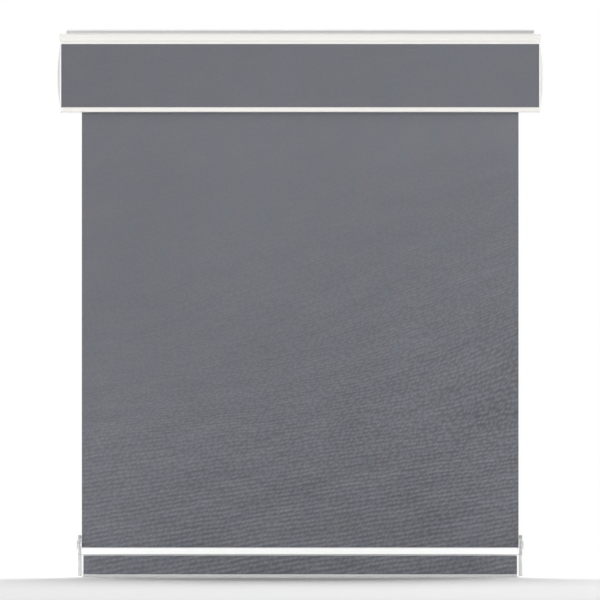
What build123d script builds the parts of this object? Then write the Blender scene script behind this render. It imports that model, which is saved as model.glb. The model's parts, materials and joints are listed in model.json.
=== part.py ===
# Cassette roller blind with a sprung roller, a full-width finger grip and side guide clips.
# Frame: +X to the right, +Y into the wall, +Z up. The origin lies on the wall plane, in the
# middle of the line of wall screws. All lengths are in millimetres.
import os
from math import cos, radians, sin, sqrt

from build123d import *

os.makedirs("parts", exist_ok=True)

# ---- driving dimensions -------------------------------------------------------------------
cover_length = 480.0
rail_length = 467.0
fascia_length = 477.2
curtain_width = 437.4
bar_length = 434.0
tube_length = 444.0

rail_top = 14.0
cover_top = 9.5
cover_bottom = 1.5
head_top = 8.0
fascia_bottom = -68.2
bar_top = -503.8
bar_bottom = -533.3

cover_front = -78.4
fascia_front = -76.0
head_back = -9.5

axis_y = -42.0
axis_z = -32.5

fabric_thickness = 0.45
tube_radius = 16.0
tube_bore = 14.8
roll_radius = 16.6
running_gap = 0.06

screw_spacing = 380.0
mount_hole_radius = 2.25
ceiling_hole_y = -30.0

# ---- places worked out from them ----------------------------------------------------------
cap_inner = rail_length / 2
rim_inner = fascia_length / 2
cap_outer = cover_length / 2
curtain_y = axis_y + roll_radius + 0.5
half_fabric = fabric_thickness / 2
sides = {"left": -1, "right": 1}

roller_axis = Axis((0, axis_y, axis_z), (1, 0, 0))
roller_plane = Plane(origin=(0, axis_y, axis_z), x_dir=(1, 0, 0), z_dir=(0, 0, 1))
cross_plane = Plane.YZ


def outline_of(points, plane):
    """A closed polygon drawn on a plane."""
    with BuildSketch(plane) as outline:
        with BuildLine():
            Polyline(*points, close=True)
        make_face()
    return outline.sketch


def long_profile(points, length, mode=Mode.ADD):
    """A cross-section in Y and Z, drawn out along X to equal lengths on both sides."""
    extrude(outline_of(points, cross_plane), amount=length / 2, both=True, mode=mode)


def slab(points, sign, x_near, x_far, mode=Mode.ADD):
    """A cross-section in Y and Z between two distances from the middle, on one side."""
    plane = cross_plane.offset(sign * x_near)
    extrude(outline_of(points, plane), amount=sign * (x_far - x_near), mode=mode)


def turned(points, sign=1, mode=Mode.ADD):
    """A half-section of (distance along X, radius) turned about the roller's axis."""
    placed = [(sign * along, radius) for along, radius in points]
    revolve(outline_of(placed, roller_plane), axis=roller_axis, mode=mode)


def rod(sign, x_near, x_far, y, z, radius, mode=Mode.ADD):
    """A round bar along X between two distances from the middle, on one side."""
    with BuildSketch(cross_plane.offset(sign * x_near)) as disc:
        with Locations((y, z)):
            Circle(radius)
    extrude(disc.sketch, amount=sign * (x_far - x_near), mode=mode)


def block(x_range, y_range, z_range, mode=Mode.ADD):
    """A box given by its two ends along each axis."""
    centre = tuple((low + high) / 2 for low, high in (x_range, y_range, z_range))
    size = tuple(high - low for low, high in (x_range, y_range, z_range))
    with Locations(centre):
        Box(*size, mode=mode)


def keep(piece, name):
    """Label a finished piece and write it to its own file."""
    piece.part.label = name
    export_step(piece.part, f"parts/{name}.step")


# ---- mounting rail ------------------------------------------------------------------------
rail_wall = 2.0
rail_back = 2.5
rail_front = -68.0
rail_low = -24.0
hook_foot_top = 10.5
hook_stem = -52.0
hook_tip = -56.0
hook_wall = 1.3
hook_back = hook_stem + 1.6
catch_top = -8.0
catch_low = -14.5
catch_back = -5.5
catch_wall = 1.5
groove_depth = 1.1
groove_low = 11.0
groove_high = 12.5

rail_section = [
    (0, rail_top),
    (rail_front, rail_top),
    (rail_front, cover_top),
    (rail_front + rail_wall, cover_top),
    (rail_front + rail_wall, rail_top - rail_wall),
    (hook_stem, rail_top - rail_wall),
    (hook_stem, hook_foot_top),
    (hook_tip, hook_foot_top),
    (hook_tip, hook_foot_top - hook_wall),
    (hook_back, hook_foot_top - hook_wall),
    (hook_back, rail_top - rail_wall),
    (-rail_back, rail_top - rail_wall),
    (-rail_back, catch_top),
    (catch_back - catch_wall, catch_top),
    (catch_back - catch_wall, catch_low),
    (catch_back, catch_low),
    (catch_back, catch_top - catch_wall),
    (-rail_back, catch_top - catch_wall),
    (-rail_back, rail_low),
    (0, rail_low),
]
with BuildPart() as mounting_rail:
    long_profile(rail_section, rail_length)
    top_front = mounting_rail.edges().filter_by(Axis.X).group_by(Axis.Z)[-1].sort_by(Axis.Y)[0]
    fillet(top_front, radius=0.4)
    # one groove along the visible front lip
    block((-cap_inner, cap_inner), (rail_front, rail_front + groove_depth), (groove_low, groove_high),
          mode=Mode.SUBTRACT)
    with BuildSketch(Plane.XZ) as wall_holes:
        with GridLocations(screw_spacing, 1, 2, 1):
            Circle(mount_hole_radius)
    extrude(wall_holes.sketch, amount=rail_back, mode=Mode.SUBTRACT)
    with BuildSketch(Plane.XY.offset(rail_top)) as ceiling_holes:
        with Locations((0, ceiling_hole_y)):
            with GridLocations(screw_spacing, 1, 2, 1):
                Circle(mount_hole_radius)
    extrude(ceiling_holes.sketch, amount=-rail_wall, mode=Mode.SUBTRACT)
keep(mounting_rail, "mounting_rail")

# ---- head profile: the back and top of the cassette ----------------------------------------
head_wall = 2.0
head_leg_front = -73.4
head_leg_low = -6.4
head_leg_wall = 1.8
head_low = -64.0
head_hook_tip = -54.0
head_hook_front = -58.4
head_hook_wall = 1.4
port_radius = 3.6
port_bore = 1.65
ports = [(-15.0, 2.5), (-15.0, -58.0), (-67.0, 2.5)]

head_section = [
    (head_back, head_top),
    (head_hook_front, head_top),
    (head_hook_front, hook_foot_top),
    (head_hook_tip, hook_foot_top),
    (head_hook_tip, hook_foot_top + 1.1),
    (head_hook_front - head_hook_wall, hook_foot_top + 1.1),
    (head_hook_front - head_hook_wall, head_top),
    (head_leg_front, head_top),
    (head_leg_front, head_leg_low),
    (head_leg_front + head_leg_wall, head_leg_low),
    (head_leg_front + head_leg_wall, head_top - head_wall),
    (head_back - head_wall, head_top - head_wall),
    (head_back - head_wall, head_low),
    (head_back, head_low),
]
with BuildPart() as head_profile:
    long_profile(head_section, rail_length)
    for port_y, port_z in ports:
        rod(1, -cap_inner, cap_inner, port_y, port_z, port_radius)
        rod(1, -cap_inner, cap_inner, port_y, port_z, port_bore, mode=Mode.SUBTRACT)
keep(head_profile, "head_profile")

# ---- top cover: the white lip above the front ------------------------------------------------
lip_back = -75.4
cover_back = -61.0
cover_edge = 0.9
nose_low = 4.9
nose_toe = cover_front + 2.3
with BuildPart() as top_cover:
    with BuildSketch(cross_plane) as cover_section:
        with BuildLine():
            Line((cover_front, cover_top - cover_edge), (cover_front, nose_low))
            ThreePointArc((cover_front, nose_low), (cover_front + 0.75, 3.0), (nose_toe, cover_bottom))
            Polyline(
                (nose_toe, cover_bottom),
                (lip_back, cover_bottom),
                (lip_back, head_top),
                (cover_back, head_top),
                (cover_back, cover_top),
                (cover_front + cover_edge, cover_top),
            )
            RadiusArc((cover_front + cover_edge, cover_top), (cover_front, cover_top - cover_edge),
                      -cover_edge)
        make_face()
    extrude(amount=cover_length / 2, both=True)
    front_ends = top_cover.edges().filter_by(Axis.Z).group_by(Axis.Y)[0]
    fillet(front_ends, radius=0.8)
keep(top_cover, "top_cover")

# ---- fascia: front wall with a recess for the fabric, and a bottom return ---------------------
recess_floor = fascia_front + 0.8
recess_top = -0.2
recess_low = -63.9
fascia_inner = head_leg_front
fascia_top = 6.0
return_wall = 1.8
return_end = -36.0
snap_reach = 3.0
rib_wall = 1.6
upstand_height = 5.0
fascia_section = [
    (fascia_inner, fascia_top),
    (lip_back, fascia_top),
    (lip_back, cover_bottom),
    (fascia_front, cover_bottom),
    (fascia_front, recess_top),
    (recess_floor, recess_top),
    (recess_floor, recess_low),
    (fascia_front, recess_low),
    (fascia_front, fascia_bottom),
    (return_end, fascia_bottom),
    (return_end, fascia_bottom + return_wall),
    (fascia_inner, fascia_bottom + return_wall),
]
snap_rib = [
    (fascia_inner, head_leg_low),
    (fascia_inner + snap_reach, head_leg_low),
    (fascia_inner + snap_reach, head_leg_low - rib_wall),
    (fascia_inner, head_leg_low - rib_wall),
]
upstand = [
    (return_end, fascia_bottom + return_wall),
    (return_end, fascia_bottom + upstand_height),
    (return_end - rib_wall, fascia_bottom + upstand_height),
    (return_end - rib_wall, fascia_bottom + return_wall),
]
with BuildPart() as fascia:
    long_profile(fascia_section, fascia_length)
    long_profile(snap_rib, rail_length)
    long_profile(upstand, rail_length)
    low_front = fascia.edges().filter_by(Axis.X).group_by(Axis.Z)[0].sort_by(Axis.Y)[0]
    fillet(low_front, radius=1.5)
    rim_edges = fascia.edges().filter_by(Axis.X).group_by(Axis.Y)[0].sort_by(Axis.Z)[1:]
    fillet(rim_edges, radius=0.25)
keep(fascia, "fascia")

with BuildPart() as fascia_insert:
    block((-rim_inner, rim_inner), (recess_floor - fabric_thickness, recess_floor), (recess_low, recess_top))
keep(fascia_insert, "fascia_insert")

# ---- brush seal on the return's upstand -------------------------------------------------------
carrier_back = return_end + 2.0
pile_tip = return_end + 9.0
with BuildPart() as brush_seal:
    block((-cap_inner, cap_inner), (return_end, carrier_back), (fascia_bottom + 0.4, fascia_bottom + 4.6))
    block((-cap_inner, cap_inner), (carrier_back, pile_tip), (fascia_bottom + 1.9, fascia_bottom + 3.1))
keep(brush_seal, "brush_seal")

# ---- end caps, their dome covers and their screws ---------------------------------------------
dome_radius = 31.0
dome_rise = 2.7
dome_wall = 1.6
dome_seat = cap_outer - 3.0
sphere_radius = (dome_radius ** 2 + dome_rise ** 2) / (2 * dome_rise)
boss_radius = 9.0
boss_face = 227.0
bush_radius = 5.0
bush_face = 227.5
bush_end = 235.0
tang_width = 6.0
tang_end = 235.0
screw_head_radius = 3.4
screw_head_height = 2.0
screw_hole_radius = 2.0
screw_reach = 9.0
cross_slot = (2.0, 0.45)
cross_depth = 1.2
peg_circle = 26.0
peg_radius = 1.8
peg_depth = 2.0
peg_angles = (90, 210, 330)
tang_half = tang_width / 2
tang_outline = [
    (axis_y - tang_half, axis_z - tang_half),
    (axis_y + tang_half, axis_z - tang_half),
    (axis_y + tang_half, axis_z + tang_half),
    (axis_y - tang_half, axis_z + tang_half),
]
head_floor = cap_outer - screw_head_height

plate_outline = [
    (fascia_inner, head_top),
    (head_back, head_top),
    (head_back, fascia_bottom + return_wall),
    (fascia_inner, fascia_bottom + return_wall),
]
rim_outline = [
    (lip_back, head_top),
    (head_back, head_top),
    (head_back, fascia_bottom),
    (fascia_front, fascia_bottom),
    (fascia_front, cover_bottom),
    (lip_back, cover_bottom),
]


def dome_x(radius, inset=0.0):
    """Distance from the middle to the dome's surface, at a radius from the roller's axis."""
    ball = sphere_radius - inset
    return cap_outer + dome_rise - sphere_radius + sqrt(ball ** 2 - radius ** 2)


def peg_places():
    """The snap pegs' centres in Y and Z."""
    return [
        (axis_y + peg_circle * cos(radians(angle)), axis_z + peg_circle * sin(radians(angle)))
        for angle in peg_angles
    ]


for side, sign in sides.items():
    with BuildPart() as end_cap:
        slab(plate_outline, sign, cap_inner, rim_inner)
        slab(rim_outline, sign, rim_inner, cap_outer)
        low_corners = end_cap.edges().filter_by(Axis.X).group_by(Axis.Z)[0]
        fillet(low_corners, radius=1.5)
        outer_face = end_cap.faces().sort_by(Axis.X)[-1 if sign > 0 else 0]
        fillet(outer_face.outer_wire().edges(), radius=0.5)
        turned([(boss_face, 0), (boss_face, boss_radius), (cap_inner, boss_radius), (cap_inner, 0)], sign)
        rod(sign, dome_seat, cap_outer, axis_y, axis_z, dome_radius, mode=Mode.SUBTRACT)
        for peg_y, peg_z in peg_places():
            rod(sign, dome_seat - peg_depth, dome_seat, peg_y, peg_z, peg_radius, mode=Mode.SUBTRACT)
        for port_y, port_z in ports:
            rod(sign, cap_inner, cap_outer, port_y, port_z, screw_hole_radius, mode=Mode.SUBTRACT)
            rod(sign, head_floor, cap_outer, port_y, port_z, screw_head_radius + 0.2, mode=Mode.SUBTRACT)
        if side == "left":
            slab(tang_outline, sign, boss_face, tang_end, mode=Mode.SUBTRACT)
        else:
            rod(sign, boss_face, bush_end, axis_y, axis_z, bush_radius, mode=Mode.SUBTRACT)
    keep(end_cap, f"end_cap_{side}")

    with BuildPart() as dome_cover:
        with BuildSketch(roller_plane) as dome_section:
            with BuildLine():
                half_way = dome_radius / 2
                inner_edge = dome_radius - dome_wall
                bevel = dome_radius - 0.4
                Polyline(
                    (sign * dome_seat, dome_radius),
                    (sign * (cap_outer - 0.3), dome_radius),
                    (sign * dome_x(bevel), bevel),
                )
                ThreePointArc(
                    (sign * dome_x(bevel), bevel),
                    (sign * dome_x(half_way), half_way),
                    (sign * dome_x(0), 0),
                )
                Line((sign * dome_x(0), 0), (sign * dome_x(0, dome_wall), 0))
                ThreePointArc(
                    (sign * dome_x(0, dome_wall), 0),
                    (sign * dome_x(half_way, dome_wall), half_way),
                    (sign * dome_x(inner_edge, dome_wall), inner_edge),
                )
                Polyline(
                    (sign * dome_x(inner_edge, dome_wall), inner_edge),
                    (sign * dome_seat, inner_edge),
                    (sign * dome_seat, dome_radius),
                )
            make_face()
        revolve(dome_section.sketch, axis=roller_axis)
        for peg_y, peg_z in peg_places():
            rod(sign, dome_seat - peg_depth, cap_outer - 0.4, peg_y, peg_z, peg_radius)
    keep(dome_cover, f"dome_cover_{side}")

    with BuildPart() as cap_screws:
        for port_y, port_z in ports:
            rod(sign, head_floor, cap_outer, port_y, port_z, screw_head_radius)
            rod(sign, cap_inner - screw_reach, head_floor, port_y, port_z, port_bore)
            for slot_y, slot_z in (cross_slot, cross_slot[::-1]):
                x_ends = sorted((sign * (cap_outer - cross_depth), sign * cap_outer))
                block(x_ends, (port_y - slot_y, port_y + slot_y), (port_z - slot_z, port_z + slot_z),
                      mode=Mode.SUBTRACT)
    keep(cap_screws, f"cap_screws_{side}")

# ---- spring side of the roller: shaft, anchor and torsion spring ------------------------------
shaft_radius = 4.0
shaft_end = 96.0
anchor_near = 98.0
anchor_far = 112.0
anchor_radius = 12.0
hub_radius = 6.9
hub_length = 16.0
coil_radius = 8.0
coil_wire = 0.9
coil_pitch = 4.0
coil_turns = 21
coil_start = 199.5
crown_inner = 205.0

with BuildPart() as spring_shaft:
    turned([(shaft_end, 0), (shaft_end, shaft_radius), (boss_face, shaft_radius), (boss_face, 0)], -1)
    slab(tang_outline, -1, boss_face, tang_end)
    chamfer(spring_shaft.faces().sort_by(Axis.X)[-1].edges(), length=0.6)
keep(spring_shaft, "spring_shaft")

with BuildPart() as spring_anchor:
    turned(
        [
            (anchor_near, shaft_radius),
            (anchor_near, anchor_radius),
            (anchor_far, anchor_radius),
            (anchor_far, hub_radius),
            (anchor_far + hub_length, hub_radius),
            (anchor_far + hub_length, shaft_radius),
        ],
        -1,
    )
keep(spring_anchor, "spring_anchor")

with BuildPart() as torsion_spring:
    with BuildLine():
        coil = Helix(
            pitch=coil_pitch,
            height=coil_pitch * coil_turns,
            radius=coil_radius,
            center=(-coil_start, axis_y, axis_z),
            direction=(1, 0, 0),
        )
    with BuildSketch(Plane(origin=coil @ 0, z_dir=coil % 0)):
        Circle(coil_wire)
    sweep(is_frenet=True)
keep(torsion_spring, "torsion_spring")

# ---- idle side: bearing bush, plunger pin and its spring -----------------------------------
pin_radius = 3.0
pin_tip = 233.0
pin_tail = 182.0
collar_near = 209.7
collar_far = 211.7
collar_radius = 5.2
plug_back = 186.0
plug_floor = 190.0
plug_front_wall = 212.0
pocket_radius = 5.5
flange_near = 222.0
flange_far = 223.5
ring_near = 183.6
ring_far = 184.4
ring_radius = 4.6
ring_floor = pin_radius - 0.4

with BuildPart() as bearing_bush:
    turned(
        [
            (bush_face, pin_radius + running_gap),
            (bush_face, bush_radius),
            (bush_end, bush_radius),
            (bush_end, pin_radius + running_gap),
        ]
    )
keep(bearing_bush, "bearing_bush")

with BuildPart() as idle_pin:
    turned(
        [
            (pin_tail, 0),
            (pin_tail, pin_radius),
            (collar_near, pin_radius),
            (collar_near, collar_radius),
            (collar_far, collar_radius),
            (collar_far, pin_radius),
            (pin_tip, pin_radius),
            (pin_tip, 0),
        ]
    )
    chamfer(idle_pin.faces().sort_by(Axis.X)[-1].edges(), length=0.8)
    turned(
        [
            (ring_near, ring_floor),
            (ring_near, pin_radius),
            (ring_far, pin_radius),
            (ring_far, ring_floor),
        ],
        mode=Mode.SUBTRACT,
    )
keep(idle_pin, "idle_pin")

with BuildPart() as pin_clip:
    turned(
        [
            (ring_near, ring_floor),
            (ring_near, ring_radius),
            (ring_far, ring_radius),
            (ring_far, ring_floor),
        ]
    )
    # the mouth through which the ring is pushed over the pin
    block((ring_near, ring_far), (axis_y - 1.5, axis_y + 1.5), (axis_z - ring_radius, axis_z),
          mode=Mode.SUBTRACT)
keep(pin_clip, "pin_clip")

idle_wire = 0.4
idle_pitch = 2.4
idle_coil_radius = 4.2
idle_inset = idle_wire + 0.1
with BuildPart() as idle_spring:
    with BuildLine():
        idle_coil = Helix(
            pitch=idle_pitch,
            height=collar_near - plug_floor - 2 * idle_inset,
            radius=idle_coil_radius,
            center=(plug_floor + idle_inset, axis_y, axis_z),
            direction=(1, 0, 0),
        )
    with BuildSketch(Plane(origin=idle_coil @ 0, z_dir=idle_coil % 0)):
        Circle(idle_wire)
    sweep(is_frenet=True)
keep(idle_spring, "idle_spring")

# ---- roller: keyed tube, plugs and the wound fabric -----------------------------------------
key_half = 1.0
key_depth = 1.8


def key_block(x_range, mode):
    """The tube's inner key, above the axis, or the slot that it fills in a plug."""
    block(
        x_range,
        (axis_y - key_half, axis_y + key_half),
        (axis_z + tube_bore - key_depth, axis_z + tube_bore + 0.6),
        mode=mode,
    )


half_tube = tube_length / 2
with BuildPart() as roller_tube:
    turned(
        [
            (-half_tube, tube_bore),
            (-half_tube, tube_radius),
            (half_tube, tube_radius),
            (half_tube, tube_bore),
        ]
    )
    key_block((-half_tube, half_tube), Mode.ADD)
keep(roller_tube, "roller_tube")

with BuildPart() as spring_crown:
    turned(
        [
            (crown_inner, shaft_radius + running_gap),
            (crown_inner, tube_bore),
            (flange_near, tube_bore),
            (flange_near, tube_radius),
            (flange_far, tube_radius),
            (flange_far, shaft_radius + running_gap),
        ],
        -1,
    )
    turned(
        [
            (crown_inner - hub_length, shaft_radius + running_gap),
            (crown_inner - hub_length, hub_radius),
            (crown_inner, hub_radius),
            (crown_inner, shaft_radius + running_gap),
        ],
        -1,
    )
    key_block((-flange_near, -crown_inner), Mode.SUBTRACT)
keep(spring_crown, "spring_crown")

with BuildPart() as idle_plug:
    turned(
        [
            (plug_back, pin_radius + running_gap),
            (plug_back, tube_bore),
            (flange_near, tube_bore),
            (flange_near, tube_radius),
            (flange_far, tube_radius),
            (flange_far, pin_radius + running_gap),
            (plug_front_wall, pin_radius + running_gap),
            (plug_front_wall, pocket_radius),
            (plug_floor, pocket_radius),
            (plug_floor, pin_radius + running_gap),
        ]
    )
    key_block((plug_back, flange_near), Mode.SUBTRACT)
keep(idle_plug, "idle_plug")

half_curtain = curtain_width / 2
with BuildPart() as fabric_roll:
    turned(
        [
            (-half_curtain, tube_radius),
            (-half_curtain, roll_radius),
            (half_curtain, roll_radius),
            (half_curtain, tube_radius),
        ]
    )
keep(fabric_roll, "fabric_roll")

# ---- curtain: hangs from the back of the roll into the bar's slot --------------------------
spline_z = bar_top - 6.4
spline_radius = 1.7
with BuildPart() as curtain:
    block(
        (-half_curtain, half_curtain),
        (curtain_y - half_fabric, curtain_y + half_fabric),
        (spline_z + spline_radius + 0.1, axis_z),
    )
keep(curtain, "curtain")

# ---- bottom bar with its finger grip -------------------------------------------------------
bar_front = curtain_y - 7.0
bar_back = curtain_y + 6.0
grip_front = bar_front - 5.6
grip_low = bar_top - 7.7
grip_top_edge = 1.2
grip_low_edge = 1.0
grip_face_low = bar_top - 6.0
bar_recess = bar_front + 0.8
insert_low = bar_bottom + 2.1
slot_half = 0.6
bar_wall = 1.8
back_edge = 2.0

with BuildPart() as bottom_bar:
    with BuildSketch(cross_plane) as bar_section:
        with BuildLine():
            RadiusArc((bar_back, bar_top - back_edge), (bar_back - back_edge, bar_top), -back_edge)
            Line((bar_back - back_edge, bar_top), (grip_front + grip_top_edge, bar_top))
            RadiusArc((grip_front + grip_top_edge, bar_top), (grip_front, bar_top - grip_top_edge),
                      -grip_top_edge)
            Line((grip_front, bar_top - grip_top_edge), (grip_front, grip_face_low))
            grip_heel = (grip_front + grip_low_edge, grip_face_low - grip_low_edge)
            RadiusArc((grip_front, grip_face_low), grip_heel, -grip_low_edge)
            Polyline(
                grip_heel,
                (bar_front, grip_low),
                (bar_recess, grip_low),
                (bar_recess, insert_low),
                (bar_front, insert_low),
                (bar_front, bar_bottom),
                (bar_back, bar_bottom),
                (bar_back, bar_top - back_edge),
            )
        make_face()
        with Locations((curtain_y, spline_z)):
            Circle(spline_radius + 0.4, mode=Mode.SUBTRACT)
        with Locations((curtain_y, (bar_top + spline_z) / 2 + 0.5)):
            Rectangle(2 * slot_half, bar_top - spline_z + 1.0, mode=Mode.SUBTRACT)
        cavity_top = bar_top - 11.0
        cavity_low = bar_bottom + bar_wall
        with Locations(((bar_recess + bar_back) / 2, (cavity_top + cavity_low) / 2)):
            RectangleRounded(bar_back - bar_recess - 2 * bar_wall, cavity_top - cavity_low, 0.8,
                             mode=Mode.SUBTRACT)
    extrude(amount=bar_length / 2, both=True)
    low_edges = bottom_bar.edges().filter_by(Axis.X).group_by(Axis.Z)[0].sort_by(Axis.Y)
    fillet(low_edges[0], radius=1.6)
    low_back = bottom_bar.edges().filter_by(Axis.X).group_by(Axis.Z)[0].sort_by(Axis.Y)[-1]
    fillet(low_back, radius=0.8)
    long_edges = bottom_bar.edges().filter_by(Axis.X)
    lip_edge = long_edges.filter_by_position(Axis.Z, insert_low - 0.01, insert_low + 0.01)
    fillet(lip_edge.sort_by(Axis.Y)[0], radius=0.25)
keep(bottom_bar, "bottom_bar")

half_bar = bar_length / 2
with BuildPart() as bar_insert:
    block((-half_bar, half_bar), (bar_recess - fabric_thickness, bar_recess), (insert_low, grip_low))
keep(bar_insert, "bar_insert")

with BuildPart() as bar_spline:
    rod(1, -half_bar, half_bar, curtain_y, spline_z, spline_radius)
keep(bar_spline, "bar_spline")

weight_length = 380.0
weight_height = 13.0
weight_depth = 5.6
with BuildPart() as bar_weight:
    weight_y = (bar_recess + bar_back) / 2
    block(
        (-weight_length / 2, weight_length / 2),
        (weight_y - weight_depth / 2, weight_y + weight_depth / 2),
        (cavity_low, cavity_low + weight_height),
    )
keep(bar_weight, "bar_weight")

# ---- end plates, guide clips and eyelets at the bar's two ends -----------------------------
plate_outer = half_bar + 1.75
clip_outer = 222.6
lug_outer = 223.7
lug_inner = 219.0
lug_shoulder = 222.3
lug_neck = 222.0
lug_half = 3.2
clip_half = 5.0
eye_x = 220.7
eye_radius = 0.75
bead_bore = 0.95
bead_rim = 1.5
bead_bulge = 1.75
end_plate_peg = 2.0
peg_z = bar_top - 18.0
clip_top = bar_top - 6.0
clip_bottom = bar_bottom + 0.7
lug_top = bar_top + 8.6
bead_top = bar_top + 12.3

end_corner = 1.6
end_section = [
    (bar_back, bar_top - end_corner),
    (bar_back - end_corner, bar_top),
    (grip_front + grip_top_edge, bar_top),
    (grip_front, bar_top - grip_top_edge),
    (grip_front, grip_face_low),
    (grip_front + grip_low_edge, grip_face_low - grip_low_edge),
    (bar_front, grip_low),
    (bar_front, bar_bottom),
    (bar_back, bar_bottom),
]

for side, sign in sides.items():
    with BuildPart() as bar_end_plate:
        slab(end_section, sign, half_bar, plate_outer)
        outer_face = bar_end_plate.faces().sort_by(Axis.X)[-1 if sign > 0 else 0]
        fillet(outer_face.edges(), radius=0.4)
        rod(sign, half_bar, plate_outer, curtain_y, peg_z, end_plate_peg, mode=Mode.SUBTRACT)
        # a notch that lets the curtain's edge run into the bar's slot
        x_ends = sorted((sign * half_bar, sign * plate_outer))
        block(x_ends, (curtain_y - slot_half, curtain_y + slot_half), (spline_z + spline_radius, bar_top),
              mode=Mode.SUBTRACT)
    keep(bar_end_plate, f"bar_end_plate_{side}")

    lug_plane = Plane(origin=(0, curtain_y, 0), x_dir=(sign, 0, 0), z_dir=(0, -sign, 0))
    with BuildPart() as guide_cap:
        with BuildSketch(lug_plane) as lug_section:
            with BuildLine():
                Polyline((lug_inner, bar_top - 1.0), (lug_inner, lug_top), (lug_shoulder, lug_top))
                ThreePointArc((lug_shoulder, lug_top), (lug_outer - 0.4, lug_top - 2.0),
                              (lug_outer, lug_top - 4.4))
                Line((lug_outer, lug_top - 4.4), (lug_outer, bar_top + 0.6))
                ThreePointArc((lug_outer, bar_top + 0.6), (lug_outer - 0.7, bar_top - 1.4),
                              (lug_neck, bar_top - 2.4))
                Polyline(
                    (lug_neck, bar_top - 2.4),
                    (lug_neck, clip_top - 0.5),
                    (lug_inner + 0.4, clip_top - 0.5),
                    (lug_inner + 0.4, bar_top - 2.0),
                    (lug_inner, bar_top - 1.0),
                )
            make_face()
        extrude(lug_section.sketch, amount=lug_half, both=True)
        x_ends = sorted((sign * plate_outer, sign * clip_outer))
        block(x_ends, (curtain_y - clip_half, curtain_y + clip_half), (clip_bottom, clip_top))
        upright = guide_cap.edges().filter_by(Axis.Z).filter_by_position(
            Axis.X, *sorted((sign * (clip_outer - 0.01), sign * (clip_outer + 0.01)))
        )
        fillet(upright, radius=1.2)
        # a slanting threading slit in front, and a slot below it that leads the line into the eye
        with BuildSketch(lug_plane.offset(sign * lug_half)) as slit:
            with Locations((eye_x + 0.6, lug_top - 2.6)):
                Rectangle(4.6, 0.6, rotation=-38)
        extrude(slit.sketch, amount=-sign * (lug_half - 0.2), mode=Mode.SUBTRACT)
        x_slot = sorted((sign * (eye_x - 0.4), sign * (eye_x + 0.4)))
        block(x_slot, (curtain_y - lug_half, curtain_y), (bar_top - 1.0, lug_top - 3.4), mode=Mode.SUBTRACT)
        with BuildSketch(Plane.XY.offset(clip_bottom)) as eye:
            with Locations((sign * eye_x, curtain_y)):
                Circle(eye_radius)
        extrude(eye.sketch, amount=lug_top - clip_bottom, mode=Mode.SUBTRACT)
        rod(sign, half_bar - 4.0, plate_outer, curtain_y, peg_z, end_plate_peg)
    keep(guide_cap, f"guide_cap_{side}")

    bead_plane = Plane(origin=(sign * eye_x, curtain_y, lug_top), x_dir=(1, 0, 0), z_dir=(0, -1, 0))
    bead_axis = Axis((sign * eye_x, curtain_y, lug_top), (0, 0, 1))
    bead_height = bead_top - lug_top
    with BuildPart() as guide_eyelet:
        with BuildSketch(bead_plane) as bead_section:
            with BuildLine():
                Polyline((bead_bore, bead_height), (bead_bore, 0), (bead_rim, 0))
                ThreePointArc((bead_rim, 0), (bead_bulge, bead_height / 2), (bead_rim, bead_height - 0.3))
                Polyline(
                    (bead_rim, bead_height - 0.3),
                    (bead_rim - 0.3, bead_height),
                    (bead_bore, bead_height),
                )
            make_face()
        revolve(bead_section.sketch, axis=bead_axis)
    keep(guide_eyelet, f"guide_eyelet_{side}")

# ---- release latches behind the head profile -----------------------------------------------
latch_x = 150.0
latch_half = 10.0
latch_gap = 0.3
latch_wall = 2.0
plate_back = head_back + latch_gap + latch_wall
guide_top = -28.0
guide_low = -52.0
window_top = -34.0
window_low = -50.0
lug_z = (-48.5, -47.0)
tab_low = -66.0
tab_back = -4.4
tab_half = 12.0
tongue_top = -10.0
tongue_low = -18.0
tongue_front = -5.1
tongue_back = -3.3
rib_half = 8.0
guide_half = 13.0
spring_wire = 0.2
spring_radius = 0.85
spring_pitch = 1.5
spring_height = 12.0

latch_section = [
    (head_back + latch_gap, tab_low),
    (head_back + latch_gap, tongue_low),
    (tongue_front, tongue_low),
    (tongue_front, tongue_top),
    (tongue_back - 0.6, tongue_top),
    (tongue_back, tongue_top - 1.2),
    (tongue_back, tongue_low - latch_wall),
    (plate_back, tongue_low - latch_wall),
    (plate_back, tab_low + latch_wall),
    (tab_back, tab_low + latch_wall),
    (tab_back, tab_low),
]

for side, sign in sides.items():
    middle = sign * latch_x
    with BuildPart() as latch:
        with BuildSketch(cross_plane.offset(middle)) as latch_outline:
            with BuildLine():
                Polyline(*latch_section, close=True)
            make_face()
        extrude(latch_outline.sketch, amount=latch_half, both=True)
        block((middle - tab_half, middle + tab_half), (head_back + latch_gap, plate_back),
              (tab_low, guide_low - latch_gap))
        block((middle - 3.0, middle + 3.0), (head_back, plate_back + 0.1), (window_low, window_top),
              mode=Mode.SUBTRACT)
        for rib in range(3):
            rib_z = guide_low - 3.4 - 3.0 * rib
            block((middle - rib_half, middle + rib_half), (plate_back, plate_back + 0.6),
                  (rib_z - 0.5, rib_z + 0.5))
    keep(latch, f"latch_{side}")

    with BuildPart() as latch_guide:
        block((middle - guide_half, middle + guide_half), (head_back, head_back + 3.9),
              (guide_low, guide_top))
        block(
            (middle - latch_half - latch_gap, middle + latch_half + latch_gap),
            (head_back, plate_back + latch_gap),
            (guide_low, guide_top),
            mode=Mode.SUBTRACT,
        )
        block((middle - 2.4, middle + 2.4), (head_back + 0.2, plate_back + latch_gap), lug_z)
    keep(latch_guide, f"latch_guide_{side}")

    with BuildPart() as latch_spring:
        with BuildLine():
            latch_coil = Helix(
                pitch=spring_pitch,
                height=spring_height,
                radius=spring_radius,
                center=(middle, head_back + 1.3, lug_z[1] + 0.5),
                direction=(0, 0, 1),
            )
        with BuildSketch(Plane(origin=latch_coil @ 0, z_dir=latch_coil % 0)):
            Circle(spring_wire)
        sweep(is_frenet=True)
    keep(latch_spring, f"latch_spring_{side}")
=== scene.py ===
import json
import math

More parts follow.
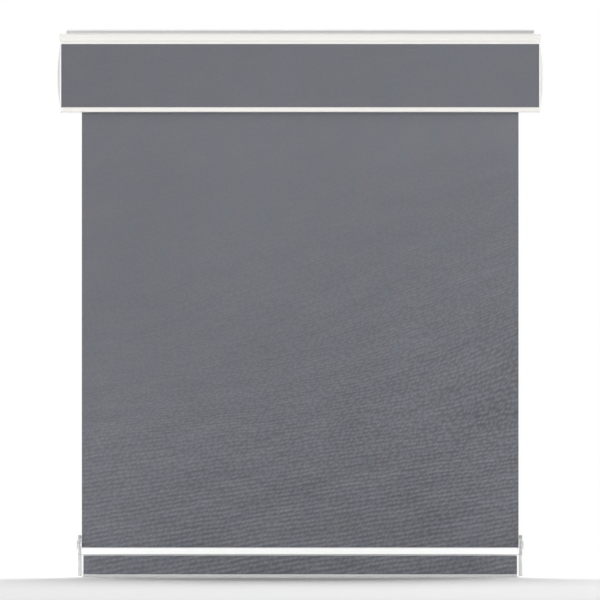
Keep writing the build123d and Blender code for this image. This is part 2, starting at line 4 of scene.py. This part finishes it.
import bpy
import numpy as np
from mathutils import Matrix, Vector


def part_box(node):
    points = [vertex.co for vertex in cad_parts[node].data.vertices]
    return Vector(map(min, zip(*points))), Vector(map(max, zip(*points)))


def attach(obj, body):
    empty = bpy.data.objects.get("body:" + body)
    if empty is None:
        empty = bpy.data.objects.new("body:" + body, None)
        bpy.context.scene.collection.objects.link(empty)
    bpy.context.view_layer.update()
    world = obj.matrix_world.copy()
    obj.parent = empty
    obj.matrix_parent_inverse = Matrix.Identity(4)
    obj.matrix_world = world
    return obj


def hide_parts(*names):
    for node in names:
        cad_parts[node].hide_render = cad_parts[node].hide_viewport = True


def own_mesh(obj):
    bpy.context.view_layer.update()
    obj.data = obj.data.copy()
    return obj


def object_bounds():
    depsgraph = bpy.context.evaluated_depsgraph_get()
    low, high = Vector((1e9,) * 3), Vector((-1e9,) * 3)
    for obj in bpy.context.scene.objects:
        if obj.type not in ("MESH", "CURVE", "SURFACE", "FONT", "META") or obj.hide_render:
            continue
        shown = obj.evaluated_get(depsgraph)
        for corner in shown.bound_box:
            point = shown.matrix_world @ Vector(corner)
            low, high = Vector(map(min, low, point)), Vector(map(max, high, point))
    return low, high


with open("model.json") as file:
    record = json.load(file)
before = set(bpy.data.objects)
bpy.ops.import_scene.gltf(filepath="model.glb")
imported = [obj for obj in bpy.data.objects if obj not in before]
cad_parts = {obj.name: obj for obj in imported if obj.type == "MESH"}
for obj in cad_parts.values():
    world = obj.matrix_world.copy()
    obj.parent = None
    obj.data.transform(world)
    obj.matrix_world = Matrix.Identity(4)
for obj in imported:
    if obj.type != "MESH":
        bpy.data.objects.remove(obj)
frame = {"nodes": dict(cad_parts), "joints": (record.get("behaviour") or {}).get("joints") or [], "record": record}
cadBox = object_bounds()
mm = 0.001   # everything is in metres; patterns are laid out in millimetres
print("frame loaded with", len(frame["nodes"]), "nodes")


class Wire:
    # a shader socket that takes part in plain arithmetic
    def __init__(self, paint, socket):
        self.paint = paint
        self.socket = socket

    def join(self, operation, first, second):
        return self.paint.node("ShaderNodeMath", {"operation": operation}, {0: first, 1: second})

    def __add__(self, other):
        return self.join("ADD", self, other)

    def __sub__(self, other):
        return self.join("SUBTRACT", self, other)

    def __mul__(self, other):
        return self.join("MULTIPLY", self, other)

    def __truediv__(self, other):
        return self.join("DIVIDE", self, other)

    def __rsub__(self, other):
        return self.join("SUBTRACT", other, self)

    __radd__ = __add__
    __rmul__ = __mul__


class Paint:
    # one material: its Principled shader, with constants set on the shader's own sockets
    def __init__(self, name, constants):
        self.material = bpy.data.materials.new(name)
        self.material.use_nodes = True
        self.tree = self.material.node_tree
        self.shader = self.tree.nodes["Principled BSDF"]
        for socketName, value in constants.items():
            self.shader.inputs[socketName].default_value = value

    def node(self, kind, settings, values, output=0):
        made = self.tree.nodes.new(kind)
        for key, value in settings.items():
            setattr(made, key, value)
        for key, value in values.items():
            self.plug(made.inputs[key], value)
        return Wire(self, made.outputs[output])

    def plug(self, socket, value):
        if isinstance(value, Wire):
            self.tree.links.new(value.socket, socket)
        else:
            socket.default_value = value

    def feed(self, **inputs):
        # Base_Color=... goes to the shader's Base Color
        for key, value in inputs.items():
            self.plug(self.shader.inputs[key.replace("_", " ")], value)

    def place(self):
        # the point on the piece, in millimetres
        where = self.node("ShaderNodeTexCoord", {}, {}, output=3)
        scaled = self.node("ShaderNodeVectorMath", {"operation": "SCALE"}, {0: where, "Scale": 1000})
        return [self.node("ShaderNodeSeparateXYZ", {}, {0: scaled}, output=axis) for axis in range(3)]

    def spot(self, x, y, z):
        return self.node("ShaderNodeCombineXYZ", {}, {0: x, 1: y, 2: z})

    def noise(self, spot, scale, detail=2.0, roughness=0.5):
        # smooth noise about zero, from about -0.5 to 0.5
        values = {"Vector": spot, "Scale": scale, "Detail": detail, "Roughness": roughness}
        return self.node("ShaderNodeTexNoise", {}, values) - 0.5

    def cells(self, spot, scale, jitter):
        values = {"Vector": spot, "Scale": scale, "Randomness": jitter}
        return self.node("ShaderNodeTexVoronoi", {"voronoi_dimensions": "2D"}, values)

    def wave(self, turns):
        # sine of a phase counted in whole turns
        return self.node("ShaderNodeMath", {"operation": "SINE"}, {0: turns * (2 * math.pi)})

    def ease(self, value, low, high, start=0.0, end=1.0):
        # smooth step from start to end as value goes from low to high
        values = {"Value": value, "From Min": low, "From Max": high, "To Min": start, "To Max": end}
        return self.node("ShaderNodeMapRange", {"interpolation_type": "SMOOTHSTEP"}, values)

    def band(self, value, low, high, factor):
        # the factor inside a range of value, one outside it, with soft ends
        inside = self.ease(value, low - 0.1, low + 0.1) * self.ease(value, high - 0.1, high + 0.1, 1.0, 0.0)
        return 1.0 - inside * (1.0 - factor)

    def shade(self, colour, factor):
        return self.node("ShaderNodeVectorMath", {"operation": "SCALE"}, {0: colour, "Scale": factor})

    def blendTone(self, factor, first, second):
        settings = {"data_type": "RGBA"}
        return self.node("ShaderNodeMix", settings, {0: factor, 6: first, 7: second}, output=2)

    def relief(self, height, depth):
        # depth in metres for a height of one
        return self.node("ShaderNodeBump", {}, {"Height": height, "Distance": depth, "Strength": 1.0})


crepe = {
    "neutral": (0.1510, 0.1524, 0.1695, 1),
    "bluish": (0.1464, 0.1524, 0.1737, 1),
    "rowTilt": 0.035,         # rows per millimetre across: the rows climb gently to the right
    "upperTilt": 0.075,       # extra climb in the upper half
    "rowCount": 0.287,        # rows per millimetre down, at the middle of the drop
    "rowStretch": 0.000190,   # how fast the rows widen downwards
    "middle": -321.5,
    "grainsAcross": 0.24,
    "paintedLightDrift": 0.00022,          # painted light: the upper cloth is painted lighter towards its right edge, in place of light falling brighter there
    "weaveToneAndShade": 0.29,
    "thread": 0.62,
}


def slateCrepe(name):
    # woven crepe: slanting rows of short staggered grains, stronger towards the lower right
    paint = Paint(name, {"Roughness": 0.9, "Specular IOR Level": 0.22, "Sheen Weight": 0.12,
                         "Sheen Roughness": 0.5})
    x, y, z = paint.place()
    flat = paint.spot(x, 0.0, z)
    drop = crepe["middle"] - z
    wander = paint.noise(flat, 1 / 60)
    jog = paint.noise(flat, 1 / 8)
    upper = paint.ease(z, -395.0, -265.0)
    rows = x * crepe["rowTilt"] + drop * crepe["rowCount"] - drop * drop * crepe["rowStretch"]
    rows = rows + (x - 95.0) * upper * crepe["upperTilt"] + wander * 1.1 + jog * 0.3
    streak = paint.noise(paint.spot(x / 30, rows * 0.85, 0.0), 1.0)
    swell = paint.noise(paint.spot(x / 80, rows * 0.17, 0.0), 1.0)
    across = x * crepe["grainsAcross"] + rows * 0.42 + streak * 1.1 + jog * 0.25
    grain = paint.ease(paint.cells(paint.spot(across, rows, 0.0), 1.0, 0.8), 0.08, 0.58, 0.42, -0.26)
    ridge = paint.wave(rows) * (streak + 0.6)
    lower = paint.ease(z, -470.0, -370.0, 1.0, 0.0)
    weave = grain * (1.55 - lower * 0.45) + ridge * (0.42 + lower * 0.28) + streak * 1.3 + swell * 1.2
    fall = (-121.5 - z) / 330 + (x + 162) * (0.35 / 330)
    strength = paint.ease(fall, 0.15, 1.35, 0.13, 1.0)
    mottle = paint.noise(flat, 1 / 120, detail=3.0)
    patch = paint.ease(paint.noise(flat, 1 / 26, detail=1.0), -0.16, 0.16)
    threads = paint.wave(x / crepe["thread"] + jog * 0.8) * paint.wave(z / crepe["thread"] + wander * 1.1)
    # painted light: the upper cloth is painted lighter towards its right edge
    paintedLightDrift = x * crepe["paintedLightDrift"] * (1.0 - strength * 1.6)
    # the weave and threads darken the colour where their relief is low: partly the yarn's own tone, partly painted
    # shade in the weave's hollows; the cloth is also darker towards the lower right, where the weave is strongest
    tone = 1.0 + weave * strength * crepe["weaveToneAndShade"] + mottle * 0.11 + threads * 0.03
    tone = tone + paintedLightDrift - strength * 0.08
    colour = paint.shade(paint.blendTone(patch, crepe["neutral"], crepe["bluish"]), tone)
    height = weave * strength * 0.6 + threads * 0.22
    paint.feed(Base_Color=colour, Roughness=0.9 - weave * 0.05, Normal=paint.relief(height, 0.00011))
    return paint.material


def powderWhite(name, white, paintedShadeBand=None):
    # smooth powder coat: a very fine orange peel and faint changes of gloss
    # the last argument gives a band of heights painted darker, as painted shade, and how much darker it is
    paint = Paint(name, {"Specular IOR Level": 0.45})
    x, y, z = paint.place()
    spot = paint.spot(x, y, z)
    peel = paint.noise(spot, 1.3, detail=2.0)
    cloud = paint.noise(spot, 1 / 70, detail=3.0)
    tone = 1.0 + cloud * 0.025
    if paintedShadeBand:
        tone = tone * paint.band(z, *paintedShadeBand)
    paint.feed(Base_Color=paint.shade(white, tone), Roughness=0.42 + cloud * 0.12 + peel * 0.06,
               Normal=paint.relief(peel, 0.00003))
    return paint.material


def capPlastic():
    # moulded white plastic: a fine spark-eroded grain
    paint = Paint("capPlastic", {"Specular IOR Level": 0.4, "Subsurface Weight": 0.04,
                                 "Subsurface Scale": 0.002})
    x, y, z = paint.place()
    spot = paint.spot(x, y, z)
    grain = paint.noise(spot, 3.2, detail=3.0, roughness=0.6)
    flow = paint.noise(paint.spot(x, y / 26, z / 60), 1.0)
    colour = paint.shade((0.85, 0.845, 0.835), 1.0 + flow * 0.03)
    paint.feed(Base_Color=colour, Roughness=0.5 + grain * 0.12 + flow * 0.06,
               Normal=paint.relief(grain, 0.000035))
    return paint.material


def drawnMetal(name, colour, roughness, stretch, lines, depth, metal=1.0, grooveShadeBand=None):
    # metal with fine lines along its length; stretch divides each axis in millimetres
    # the last argument gives a band of heights painted darker, as painted shade inside a groove, and how much
    # darker it is
    paint = Paint(name, {"Metallic": metal})
    x, y, z = paint.place()
    spot = paint.spot(x / stretch[0], y / stretch[1], z / stretch[2])
    line = paint.noise(spot, 1.0, detail=4.0, roughness=0.65)
    cloud = paint.noise(paint.spot(x / 60, y / 30, z / 30), 1.0, detail=3.0)
    tone = 1.0 + line * lines + cloud * 0.06
    if grooveShadeBand:
        tone = tone * paint.band(z, *grooveShadeBand)
    paint.feed(Base_Color=paint.shade(colour, tone), Roughness=roughness + line * 0.14 + cloud * 0.08,
               Normal=paint.relief(line, depth))
    return paint.material


def zincSteel():
    # bright zinc plating with its small crystals and a faint warm bloom
    paint = Paint("zincSteel", {"Metallic": 1.0})
    x, y, z = paint.place()
    spot = paint.spot(x, y, z)
    crystal = paint.noise(spot, 0.9, detail=4.0, roughness=0.7)
    bloom = paint.noise(spot, 0.12)
    mask = paint.ease(bloom, -0.1, 0.25)
    colour = paint.blendTone(mask, (0.62, 0.62, 0.64, 1), (0.60, 0.58, 0.52, 1))
    paint.feed(Base_Color=paint.shade(colour, 1.0 + crystal * 0.12), Roughness=0.33 + crystal * 0.25,
               Normal=paint.relief(crystal, 0.00002))
    return paint.material


def plainMoulded(name, colour, roughness, constants=None):
    # moulded nylon or acetal: a soft grain, flow clouds and duller high spots
    paint = Paint(name, {"Specular IOR Level": 0.42, **(constants or {})})
    x, y, z = paint.place()
    spot = paint.spot(x, y, z)
    grain = paint.noise(spot, 2.4, detail=3.0, roughness=0.6)
    cloud = paint.noise(spot, 1 / 14, detail=2.0)
    tone = paint.shade(colour, 1.0 + cloud * 0.08 + grain * 0.04)
    paint.feed(Base_Color=tone, Roughness=roughness + grain * 0.15 + cloud * 0.08,
               Normal=paint.relief(grain, 0.00004))
    return paint.material


def bristleGrey():
    # nylon pile: each hair its own tone, painted darker towards the root as shade among the crowded hairs
    paint = Paint("bristleGrey", {"Specular IOR Level": 0.35, "Sheen Weight": 0.1})
    x, y, z = paint.place()
    hair = paint.noise(paint.spot(x, 0.0, z), 1.7, detail=1.0)
    # painted shade: the hairs are painted darker towards their roots
    rootPaintedShade = paint.ease(y, -34.0, -30.0, 0.7, 1.0)
    colour = paint.shade((0.36, 0.36, 0.38), (1.0 + hair * 0.5) * rootPaintedShade)
    paint.feed(Base_Color=colour, Roughness=0.62 + hair * 0.2, Normal=paint.relief(hair, 0.00003))
    return paint.material


materials = {
    # painted shade: the rail's groove, 11 to 12.5 mm up, is painted darker
    "anodised_grey": drawnMetal("anodisedGrey", (0.70, 0.70, 0.70), 0.42, (320, 0.5, 0.5), 0.08, 0.00001,
                                metal=0.5, grooveShadeBand=(11.0, 12.5, 0.62)),
    "powder_white": powderWhite("powderWhite", (0.80, 0.782, 0.748)),
    "cap_white": capPlastic(),
    "slate_fabric": slateCrepe("slateCrepe"),
    "clip_plastic": plainMoulded("clipPlastic", (0.88, 0.885, 0.89), 0.18,
                                 {"Transmission Weight": 0.5, "IOR": 1.46}),
    "eyelet_grey": plainMoulded("eyeletGrey", (0.36, 0.375, 0.33), 0.45),
    "zinc_steel": zincSteel(),
    "spring_steel": drawnMetal("springSteel", (0.36, 0.36, 0.38), 0.32, (3, 0.6, 0.6), 0.2, 0.00001),
    "tube_aluminium": drawnMetal("tubeAluminium", (0.74, 0.74, 0.75), 0.3, (180, 0.7, 0.7), 0.12, 0.00002),
    "plug_grey": plainMoulded("plugGrey", (0.17, 0.175, 0.185), 0.5),
    "bush_white": plainMoulded("bushWhite", (0.78, 0.775, 0.74), 0.38),
    "latch_grey": plainMoulded("latchGrey", (0.33, 0.335, 0.345), 0.5),
    "brush_grey": bristleGrey(),
    "weight_steel": drawnMetal("weightSteel", (0.33, 0.33, 0.33), 0.48, (40, 1.2, 1.2), 0.35, 0.00004),
    "spline_clear": plainMoulded("splineClear", (0.7, 0.7, 0.67), 0.35, {"Transmission Weight": 0.25}),
}
for part in frame["record"]["subparts"]:
    skin = frame["nodes"][part["node"]].data
    skin.materials.clear()
    skin.materials.append(materials[part["material_slot"]])
# the bar is sprayed a cleaner white than the cassette
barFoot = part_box("bottom_bar")[0].z / mm
# painted shade: the rounded lower lip along the bar's foot is painted darker
frame["nodes"]["bottom_bar"].data.materials[0] = powderWhite("barWhite", (0.93, 0.93, 0.925),
                                                             paintedShadeBand=(barFoot - 1.0, barFoot + 2.0, 0.55))
print("materials ready:", len(materials))


def makePiece(name, points, faces, slot, body, stands, smooth=True, material=None):
    # points is an array of corners in metres; faces is a list of corner-number arrays of any width
    mesh = bpy.data.meshes.new(name)
    sizes = np.concatenate([np.full(len(group), group.shape[1]) for group in faces])
    loops = np.concatenate([group.ravel() for group in faces]).astype(np.int32)
    mesh.vertices.add(len(points))
    mesh.vertices.foreach_set("co", np.ascontiguousarray(points, dtype=np.float32).ravel())
    mesh.loops.add(len(loops))
    mesh.loops.foreach_set("vertex_index", loops)
    mesh.polygons.add(len(sizes))
    mesh.polygons.foreach_set("loop_start", np.concatenate([[0], np.cumsum(sizes)[:-1]]).astype(np.int32))
    mesh.polygons.foreach_set("use_smooth", np.full(len(sizes), smooth))
    mesh.update(calc_edges=True)
    mesh.validate()
    piece = bpy.data.objects.new(name, mesh)
    bpy.context.scene.collection.objects.link(piece)
    mesh.materials.append(material or materials[slot])
    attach(piece, body)
    if stands:
        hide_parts(stands)
    return piece


def gridFaces(rows, columns, wrap=False):
    # quads of a grid of points numbered row by row; wrap joins the last column to the first
    numbers = np.arange(rows * columns).reshape(rows, columns)
    if wrap:
        numbers = np.hstack([numbers, numbers[:, :1]])
    corners = [numbers[:-1, :-1], numbers[1:, :-1], numbers[1:, 1:], numbers[:-1, 1:]]
    return np.stack(corners, -1).reshape(-1, 4)


def edgeStops(low, high, count, rim):
    # even stops, with a quarter circle's worth of closer ones inside each cut edge
    corner = rim * (1 - np.cos(np.linspace(0, math.pi / 2, 4)))
    middle = np.linspace(low + rim, high - rim, count)[1:-1]
    return np.concatenate([low + corner, middle, (high - corner)[::-1]])


def clothSlab(xRange, zRange, counts, thickness, middle):
    # two skins, half a thickness each side of middle(x, z), that meet on a quarter circle at the cut edges
    rim = thickness / 2
    xs = edgeStops(*xRange, counts[0], rim)
    zs = edgeStops(*zRange, counts[1], rim)

    def fall(stops):
        reach = np.minimum(np.minimum(stops - stops[0], stops[-1] - stops) / rim, 1)
        return np.sqrt(np.clip(1 - (1 - reach) ** 2, 0, 1))

    x, z = np.meshgrid(xs, zs, indexing="ij")
    swell = rim * fall(xs)[:, None] * fall(zs)[None, :]
    y = middle(x, z)
    front = np.stack([x, y - swell, z], -1).reshape(-1, 3)
    back = np.stack([x, y + swell, z], -1).reshape(-1, 3)
    numbers = np.arange(x.size).reshape(x.shape)
    behind = numbers + x.size
    behind[[0, -1], :] = numbers[[0, -1], :]
    behind[:, [0, -1]] = numbers[:, [0, -1]]
    frontFaces = gridFaces(*x.shape)
    backFaces = behind.ravel()[frontFaces][:, ::-1]
    faces = np.concatenate([frontFaces, backFaces])
    used, faces = np.unique(faces, return_inverse=True)
    return np.concatenate([front, back])[used], faces.reshape(-1, 4)


cloth = {
    "thickness": 0.00045,
    "halfWidth": 0.2187,
    "waves": [              # height in millimetres, turns across, start, slant down the drop
        (0.272, 5.1, 0.8, 1.6),
        (0.16, 9.3, -1.1, -2.3),
        (0.176, 2.2, 0.0, 3.4),
    ],
    "edgeCurl": 0.35,       # how far the side edges stand forward, in millimetres
    "stripGap": 0.0003,     # the strips are cut a little short of the rims above and below
    "tubeRadius": 0.016,
}
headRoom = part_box("curtain")
drop = headRoom[1].z - headRoom[0].z


def curtainMiddle(x, z):
    # long shallow ripples across the width that die away at the roller and at the bar:
    # a sum of slow waves in x and z, times a half sine down the drop
    hang = np.sin(math.pi * np.clip((headRoom[1].z - z) / drop, 0, 1)) ** 0.8
    across = x / cloth["halfWidth"]
    ripple = cloth["edgeCurl"] * np.abs(across) ** 6
    for height, turns, start, slant in cloth["waves"]:
        ripple = ripple + height * np.sin(turns * across + start + slant * z / drop)
    return (headRoom[0].y + headRoom[1].y) / 2 - mm * hang * ripple


points, quads = clothSlab((headRoom[0].x, headRoom[1].x), (headRoom[0].z, headRoom[1].z), (120, 150),
                          cloth["thickness"], curtainMiddle)
curtainCloth = makePiece("curtainCloth", points, [quads], "slate_fabric", "cassette", "curtain")
travel = next(joint for joint in frame["joints"] if joint["name"] == "bar_travel")["range_m"][1]
1 - travel / drop
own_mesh(curtainCloth)


def flatSkin(lowest, highest):
    # a stretched strip lies flat, at the middle of its CAD solid
    return lambda x, z: np.full(x.shape, (lowest.y + highest.y) / 2)


stripGap = cloth["stripGap"]
for name, node, body, holder in (
    ("fasciaCloth", "fascia_insert", "cassette", "fascia"),
    ("barCloth", "bar_insert", "bar", "bottom_bar"),
):
    lowest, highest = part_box(node)
    zRange = (lowest.z + stripGap, highest.z - stripGap)
    points, quads = clothSlab((lowest.x, highest.x), zRange, (160, 30), cloth["thickness"],
                              flatSkin(lowest, highest))
    strip = makePiece(name, points, [quads], "slate_fabric", body, node)

# one wrap of cloth on the tube: the radius grows a little along the turn, down to a cut edge
lowest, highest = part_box("fabric_roll")
axisY = (lowest.y + highest.y) / 2
axisZ = (lowest.z + highest.z) / 2
sweep = np.radians(np.linspace(2, 352, 120))
grow = np.linspace(0.03, 0.15, 120) * mm
ends = edgeStops(lowest.x, highest.x, 24, cloth["thickness"] / 2)


def wrapSkin(lift):
    radius = cloth["tubeRadius"] + grow + lift
    x, angle = np.meshgrid(ends, sweep, indexing="ij")
    return np.stack([x, axisY + radius * np.cos(angle), axisZ + radius * np.sin(angle)], -1).reshape(-1, 3)


outer = wrapSkin(cloth["thickness"])
inner = wrapSkin(0.0)
numbers = np.arange(len(ends) * len(sweep)).reshape(len(ends), len(sweep))
outerFaces = gridFaces(*numbers.shape)
rimLoop = np.concatenate([numbers[:-1, 0], numbers[-1, :-1], numbers[:0:-1, -1], numbers[0, :0:-1]])
after = np.roll(rimLoop, -1)
rimFaces = np.stack([rimLoop, after, after + numbers.size, rimLoop + numbers.size], -1)
woundFabric = makePiece("woundFabric", np.concatenate([outer, inner]),
                        [outerFaces[:, ::-1], outerFaces + numbers.size, rimFaces],
                        "slate_fabric", "roller", "fabric_roll")
print("cloth ready")

# brush seal: an extruded carrier and its pile
brush = {
    "hairs": 1500,          # in each row
    "rows": 3,
    "thick": 0.16 * mm,
    "carrier": 2.0 * mm,    # depth of the strip that holds the pile
    "uneven": 0.6 * mm,     # how much shorter the shortest hairs are
    "lean": 0.22 * mm,
    "seed": 11,
}
lowest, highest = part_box("brush_seal")
rng = np.random.default_rng(brush["seed"])
carrierBack = lowest.y + brush["carrier"]
carrier = np.array([[x, y, z] for x in (lowest.x, highest.x)
                    for y, z in ((lowest.y, lowest.z), (carrierBack, lowest.z),
                                 (carrierBack, highest.z), (lowest.y, highest.z))])
carrierFaces = np.array([[0, 1, 5, 4], [1, 2, 6, 5], [2, 3, 7, 6], [3, 0, 4, 7], [3, 2, 1, 0], [4, 5, 6, 7]])
hairCount = brush["hairs"] * brush["rows"]
hairX = np.tile(np.linspace(lowest.x + mm, highest.x - mm, brush["hairs"]), brush["rows"])
hairX = hairX + rng.uniform(-0.12, 0.12, hairCount) * mm
hairZ = (lowest.z + highest.z) / 2 + np.repeat(np.linspace(-0.4, 0.4, brush["rows"]), brush["hairs"]) * mm
reachY = highest.y - rng.uniform(0, brush["uneven"], hairCount)
lean = rng.normal(0, brush["lean"], (hairCount, 2))
ringAngle = np.arange(3) * 2 * math.pi / 3
ring = brush["thick"] * np.stack([np.cos(ringAngle), np.sin(ringAngle)], -1)
rootPoints = np.empty((hairCount, 3, 3))
rootPoints[..., 0] = hairX[:, None] + ring[None, :, 0]
rootPoints[..., 1] = carrierBack - 0.3 * mm
rootPoints[..., 2] = hairZ[:, None] + ring[None, :, 1]
tipPoints = np.empty((hairCount, 3, 3))
tipPoints[..., 0] = (hairX + lean[:, 0])[:, None] + 0.6 * ring[None, :, 0]
tipPoints[..., 1] = reachY[:, None]
tipPoints[..., 2] = (hairZ + lean[:, 1] * 0.8)[:, None] + 0.6 * ring[None, :, 1]
hairs = np.concatenate([rootPoints, tipPoints], 1).reshape(-1, 3)
start = 8 + 6 * np.arange(hairCount)[:, None, None]
sidePattern = np.array([[0, 3, 4, 1], [1, 4, 5, 2], [2, 5, 3, 0]])
capPattern = np.array([[0, 1, 2], [5, 4, 3]])
hairFaces = [(start + sidePattern).reshape(-1, 4), (start + capPattern).reshape(-1, 3)]
makePiece("brushBristles", np.concatenate([carrier, hairs]), [carrierFaces] + hairFaces, "brush_grey",
          "cassette", "brush_seal", smooth=False)


def coilSpring(name, node, body, axis, radius, wire, turns, closedTurns, sides=10, perTurn=28):
    # a round wire along a helix about the box's own axis, the pitch easing to the wire's width at both ends
    lowest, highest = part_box(node)
    centre = (np.array(lowest) + np.array(highest)) / 2
    start = lowest[axis] + wire
    length = highest[axis] - lowest[axis] - 2 * wire
    along = np.linspace(0, turns, int(turns * perTurn) + 1)
    nearEnd = np.clip(np.minimum(along, turns - along) / closedTurns, 0, 1)
    slow = 2 * wire * 1.02
    free = nearEnd ** 2 * (3 - 2 * nearEnd)
    step = np.diff(along)
    share = (free[1:] + free[:-1]) / 2
    openPitch = slow + (length - slow * turns) / np.sum(share * step)
    rise = np.concatenate([[0], np.cumsum(step * (slow + (openPitch - slow) * share))])
    angle = along * 2 * math.pi
    second, third = (axis + 1) % 3, (axis + 2) % 3
    path = np.zeros((len(along), 3))
    path[:, axis] = start + rise
    path[:, second] = centre[second] + radius * np.cos(angle)
    path[:, third] = centre[third] + radius * np.sin(angle)
    tangent = np.gradient(path, axis=0)
    tangent /= np.linalg.norm(tangent, axis=1, keepdims=True)
    outward = np.zeros_like(path)
    outward[:, second] = np.cos(angle)
    outward[:, third] = np.sin(angle)
    sideways = np.cross(tangent, outward)
    ringAngle = np.linspace(0, 2 * math.pi, sides, endpoint=False)
    rings = (path[:, None] + wire * (np.cos(ringAngle)[None, :, None] * outward[:, None]
                                     + np.sin(ringAngle)[None, :, None] * sideways[:, None]))
    count = len(along) * sides
    faces = gridFaces(len(along), sides, wrap=True)[:, ::-1]
    caps = np.stack([np.arange(sides)[::-1], count - sides + np.arange(sides)])
    return makePiece(name, rings.reshape(-1, 3), [faces, caps], "spring_steel", body, node)


springs = {
    "balance": {"radius": 8.0 * mm, "wire": 0.9 * mm, "turns": 22, "closedTurns": 1.5},
    "idle": {"radius": 4.2 * mm, "wire": 0.4 * mm, "turns": 9.5, "closedTurns": 1.2},
    "latch": {"radius": 0.85 * mm, "wire": 0.2 * mm, "turns": 8.5, "closedTurns": 1.0, "sides": 8,
              "perTurn": 20},
}
coilSpring("balanceSpring", "torsion_spring", "cassette", 0, **springs["balance"])
idleCoil = coilSpring("idleCoil", "idle_spring", "idle_plunger", 0, **springs["idle"])
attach(idleCoil, "roller")
lowest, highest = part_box("idle_spring")
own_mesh(idleCoil)
for side in ("left", "right"):
    latchCoil = coilSpring(f"latchCoil_{side}", f"latch_spring_{side}", "cassette", 2, **springs["latch"])
    lowest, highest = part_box(f"latch_spring_{side}")
    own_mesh(latchCoil)
print("brush and springs ready")

studio = {
    "air": 0.12,            # soft light from all around
    "paper": 1.0,           # the white behind the blind, as the camera sees it
    "floorDrop": 0.5 * mm,
    "floorRadius": 1.5,
    "lens": 960,
    "distance": 16.0,
    "aim": (-0.0002, -0.05, -0.25605),
}
rings, spokes = 40, 96
floorReach = np.linspace(0, 1, rings)[1:] ** 1.5 * studio["floorRadius"]
spokeAngle = np.linspace(0, 2 * math.pi, spokes, endpoint=False)
floorZ = cadBox[0].z - studio["floorDrop"]
floorPoints = np.stack([floorReach[:, None] * np.cos(spokeAngle), floorReach[:, None] * np.sin(spokeAngle),
                        np.full((rings - 1, spokes), floorZ)], -1).reshape(-1, 3)
floorFaces = gridFaces(rings - 1, spokes, wrap=True)
hub = len(floorPoints)
hubFaces = np.stack([np.full(spokes, hub), np.arange(spokes), np.roll(np.arange(spokes), -1)], -1)
floorMesh = bpy.data.meshes.new("floor")
floorMesh.from_pydata(np.vstack([floorPoints, [[0, 0, floorZ]]]).tolist(), [],
                      floorFaces.tolist() + hubFaces.tolist())
floor = bpy.data.objects.new("floor", floorMesh)
bpy.context.scene.collection.objects.link(floor)
floorPaint = Paint("floorPaint", {"Roughness": 0.9, "Specular IOR Level": 0.1})
fx, fy, _ = floorPaint.place()
floorCloud = floorPaint.noise(floorPaint.spot(fx, fy, 0.0), 1 / 200)
floorPaint.feed(Base_Color=floorPaint.shade((0.92, 0.92, 0.92), 1.0 + floorCloud * 0.01))
floorMesh.materials.append(floorPaint.material)


lamps = {
    "leftLight": {"place": (-2.6, -4.6, -0.12), "size": (2.8, 0.76), "watts": 147},
    "rightLight": {"place": (2.9, -4.6, -0.12), "size": (2.4, 0.76), "watts": 97},
    "leftSideLight": {"place": (-4.2, -0.9, 0.15), "size": (1.2, 1.2), "watts": 27},
    "rightSideLight": {"place": (4.2, -0.9, 0.15), "size": (1.2, 1.2), "watts": 27},
    "topLight": {"place": (0.1, 1.9, 2.6), "size": (5.0, 3.2), "watts": 200, "aim": (0, -0.1, -0.5)},
    "backLight": {"place": (1.6, 4.0, 0.9), "size": (3.0, 2.2), "watts": 30},
}


def softLight(name, place, size, watts, aim=(0, 0, -0.25)):
    lamp = bpy.data.lights.new(name, "AREA")
    lamp.shape = "RECTANGLE"
    lamp.size, lamp.size_y = size
    lamp.energy = watts
    holder = bpy.data.objects.new(name, lamp)
    holder.location = place
    toward = Vector(aim) - Vector(place)
    holder.rotation_euler = toward.to_track_quat("-Z", "Y").to_euler()
    bpy.context.scene.collection.objects.link(holder)


for name, settings in lamps.items():
    softLight(name, **settings)

world = bpy.data.worlds.new("studioAir")
world.use_nodes = True
bpy.context.scene.world = world
air = world.node_tree
for node in list(air.nodes):
    air.nodes.remove(node)
worldOut = air.nodes.new("ShaderNodeOutputWorld")
chooser = air.nodes.new("ShaderNodeMixShader")
seen = air.nodes.new("ShaderNodeLightPath")
air.links.new(seen.outputs["Is Camera Ray"], chooser.inputs[0])
for socket, strength in ((1, studio["air"]), (2, studio["paper"])):
    glow = air.nodes.new("ShaderNodeBackground")
    glow.inputs["Color"].default_value = (1, 1, 1, 1)
    glow.inputs["Strength"].default_value = strength
    air.links.new(glow.outputs[0], chooser.inputs[socket])
air.links.new(chooser.outputs[0], worldOut.inputs["Surface"])

lens = bpy.data.cameras.new("viewCamera")
lens.sensor_width = 36
lens.lens = studio["lens"]
lens.clip_start = 0.1
lens.clip_end = 200
viewCamera = bpy.data.objects.new("viewCamera", lens)
aim = studio["aim"]
viewCamera.location = (aim[0], aim[1] - studio["distance"], aim[2])
viewCamera.rotation_euler = (math.radians(90), 0, 0)
bpy.context.scene.collection.objects.link(viewCamera)
bpy.context.scene.camera = viewCamera
bpy.context.scene.view_settings.view_transform = "Standard"
print("studio ready")
